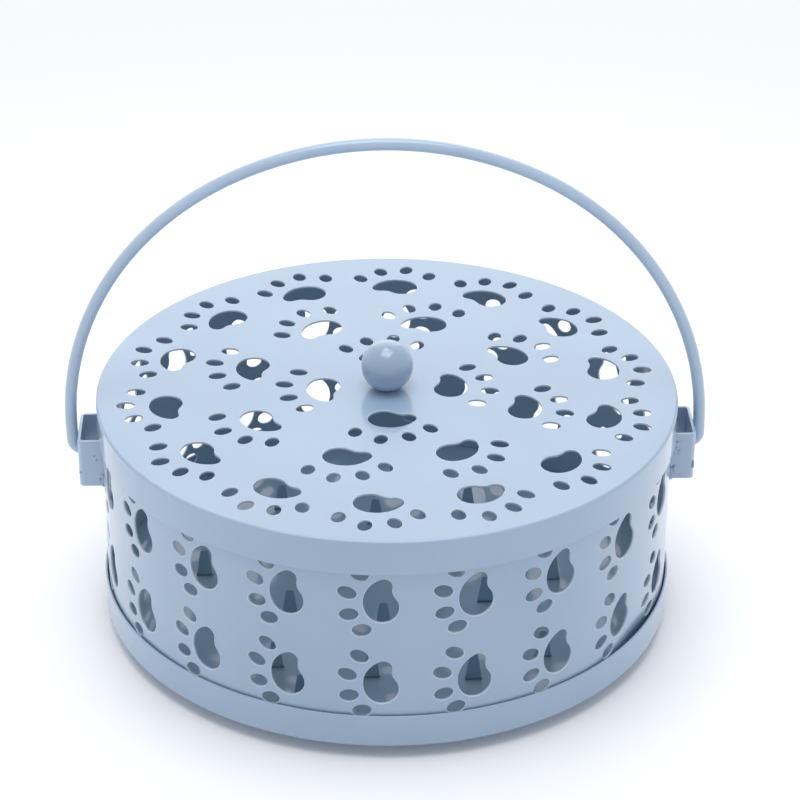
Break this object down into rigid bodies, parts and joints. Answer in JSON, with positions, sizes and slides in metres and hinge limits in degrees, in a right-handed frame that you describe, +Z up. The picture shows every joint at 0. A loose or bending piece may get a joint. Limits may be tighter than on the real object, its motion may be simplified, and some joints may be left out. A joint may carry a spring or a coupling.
{
  "type": "mosquito coil holder",
  "caption": "Round lidded sheet-steel box with paw-print vent holes, a ball knob and a swinging wire bail, for burning a mosquito coil on bent-up tabs.",
  "frame": {"origin": "on the surface it stands on, under the centre of the tray", "axes": "+Z up, X through the two bail brackets, -Y towards the front of the box"},
  "size_m": [0.1834, 0.165, 0.1426],
  "materials": {
    "tray_paint": "satin",
    "wall_paint": "satin",
    "weld_paint": "satin",
    "lid_paint": "satin",
    "knob_paint": "gloss",
    "screw_zinc": "satin",
    "bracket_paint": "satin",
    "bail_paint": "satin"
  },
  "bodies": {
    "box": {"base_tray": "tray_paint", "wall_band": "wall_paint", "wall_foot_tacks": "weld_paint", "left_bracket": "bracket_paint", "right_bracket": "bracket_paint", "left_bracket_welds": "weld_paint", "right_bracket_welds": "weld_paint"},
    "lid_unit": {"lid": "lid_paint", "knob": "knob_paint", "knob_screw": "screw_zinc"},
    "bail": {"bail_handle": "bail_paint"}
  },
  "joints": [
    {"name": "lid_lift", "type": "slide", "parent": "box", "child": "lid_unit", "axis": [0, 0, 1], "range_m": [0, 0.013]},
    {"name": "bail_swing", "type": "hinge", "parent": "box", "child": "bail", "pos_m": [0, 0, 0.04645], "axis": [1, 0, 0], "range_deg": [-116, 116]}
  ]
}
